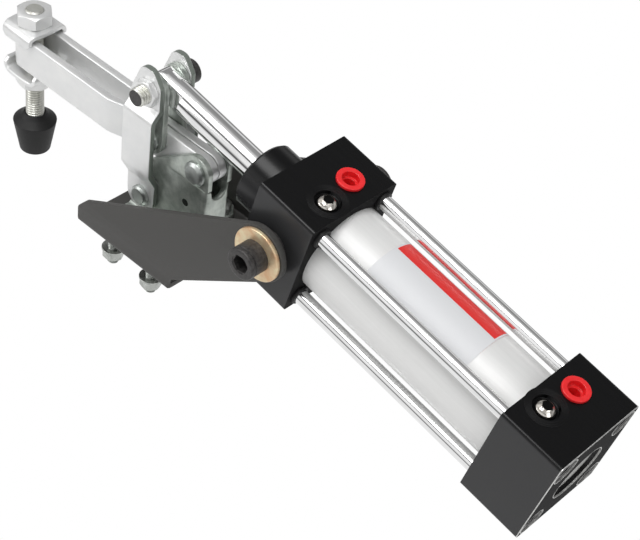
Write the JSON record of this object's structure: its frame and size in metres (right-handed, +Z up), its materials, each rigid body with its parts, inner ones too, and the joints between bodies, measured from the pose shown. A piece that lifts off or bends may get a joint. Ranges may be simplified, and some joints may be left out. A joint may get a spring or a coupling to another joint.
{
  "type": "pneumatic cylinder",
  "caption": "Tie-rod air cylinder on trunnion screws in a bent sheet bracket, driving a hold-down toggle clamp whose slotted arm carries an adjustable rubber-tipped spindle.",
  "frame": {"origin": "centre of the four base bolts, on the underside of the bracket floor", "axes": "+X from the clamp arm towards the cylinder rear cap, +Y across, +Z up, away from the mounting surface"},
  "size_m": [0.3072, 0.076, 0.0967],
  "materials": {
    "black_sheet": "satin",
    "zinc_green": "satin",
    "zinc_bright": "satin",
    "zinc_screw": "satin",
    "rivet_steel": "satin",
    "yellow_zinc": "satin",
    "black_steel": "satin",
    "black_aluminium": "gloss",
    "satin_aluminium": "satin",
    "chrome": "polished",
    "stainless": "satin",
    "label": "satin",
    "red_plastic": "satin",
    "black_rubber": "matte",
    "bronze": "satin",
    "ptfe": "matte"
  },
  "bodies": {
    "base": {"bracket": "black_sheet", "clamp_base": "zinc_green", "base_bolts": "zinc_screw", "base_washers": "zinc_bright", "base_nuts": "zinc_screw", "link_rivet": "rivet_steel", "arm_rivet": "rivet_steel", "trunnion_screws": "black_steel", "trunnion_washers": "yellow_zinc"},
    "link": {"link_plate_near": "zinc_bright", "link_plate_far": "zinc_bright", "knuckle_bolt": "zinc_screw", "knuckle_nut": "zinc_screw"},
    "coupler": {"coupler_plate_near": "zinc_green", "coupler_plate_far": "zinc_green", "coupler_rivets": "rivet_steel"},
    "arm": {"clamp_arm": "zinc_bright", "toggle_pin": "rivet_steel", "saddle_washer_top": "zinc_bright", "saddle_washer_bottom": "zinc_bright", "spindle": "zinc_screw", "spindle_nut_top": "zinc_screw", "spindle_nut_bottom": "zinc_screw", "rubber_tip": "black_rubber"},
    "rod": {"piston_rod": "chrome", "piston": "satin_aluminium", "piston_seals": "black_rubber", "wear_ring": "ptfe", "cushion_sleeves": "stainless", "piston_nut": "stainless"},
    "cylinder": {"front_head": "black_aluminium", "rear_cap": "black_aluminium", "barrel": "satin_aluminium", "barrel_gaskets": "black_rubber", "label": "label", "tie_rods": "chrome", "tie_rod_nuts": "zinc_bright", "tie_rod_rings": "black_rubber", "port_plugs": "red_plastic", "rod_bush": "bronze", "rod_seal": "black_rubber", "cushion_seals": "black_rubber", "trunnion_spacers": "black_steel", "trunnion_studs": "black_steel"},
    "cushion_screw_front_body": {"cushion_screw_front": "stainless"},
    "cushion_screw_rear_body": {"cushion_screw_rear": "stainless"}
  },
  "joints": [
    {"name": "link_swing", "type": "hinge", "parent": "base", "child": "link", "pos_m": [-0.0069, 0, 0.016], "axis": [0, 1, 0], "range_deg": [0, 44]},
    {"name": "coupler_swing", "type": "hinge", "parent": "link", "child": "coupler", "pos_m": [-0.0054, 0, 0.0687], "axis": [0, 1, 0], "range_deg": [0, 81.89]},
    {"name": "arm_swing", "type": "hinge", "parent": "base", "child": "arm", "pos_m": [0.0202, 0, 0.0432], "axis": [0, 1, 0], "range_deg": [0, 68.24]},
    {"name": "rod_tilt", "type": "hinge", "parent": "link", "child": "rod", "pos_m": [-0.0054, 0, 0.0687], "axis": [0, 1, 0], "range_deg": [-54.88, 0]},
    {"name": "cylinder_stroke", "type": "slide", "parent": "rod", "child": "cylinder", "axis": [-0.9806, 0, 0.1959], "range_m": [0, 0.03779]},
    {"name": "cushion_screw_front_turn", "type": "hinge", "parent": "cylinder", "child": "cushion_screw_front_body", "pos_m": [0.08672, -0.007, 0.07324], "axis": [0.1959, 0, 0.9806], "range_deg": [0, 360]},
    {"name": "cushion_screw_rear_turn", "type": "hinge", "parent": "cylinder", "child": "cushion_screw_rear_body", "pos_m": [0.19224, -0.007, 0.05215], "axis": [0.1959, 0, 0.9806], "range_deg": [0, 360]}
  ],
  "couplings": [
    {"joint": "arm_swing", "follows": "link_swing", "ratio": 1.5507},
    {"joint": "coupler_swing", "follows": "link_swing", "ratio": 1.8609},
    {"joint": "rod_tilt", "follows": "link_swing", "ratio": -1.2471},
    {"joint": "cylinder_stroke", "follows": "link_swing", "m_per_rad": 0.049203}
  ]
}
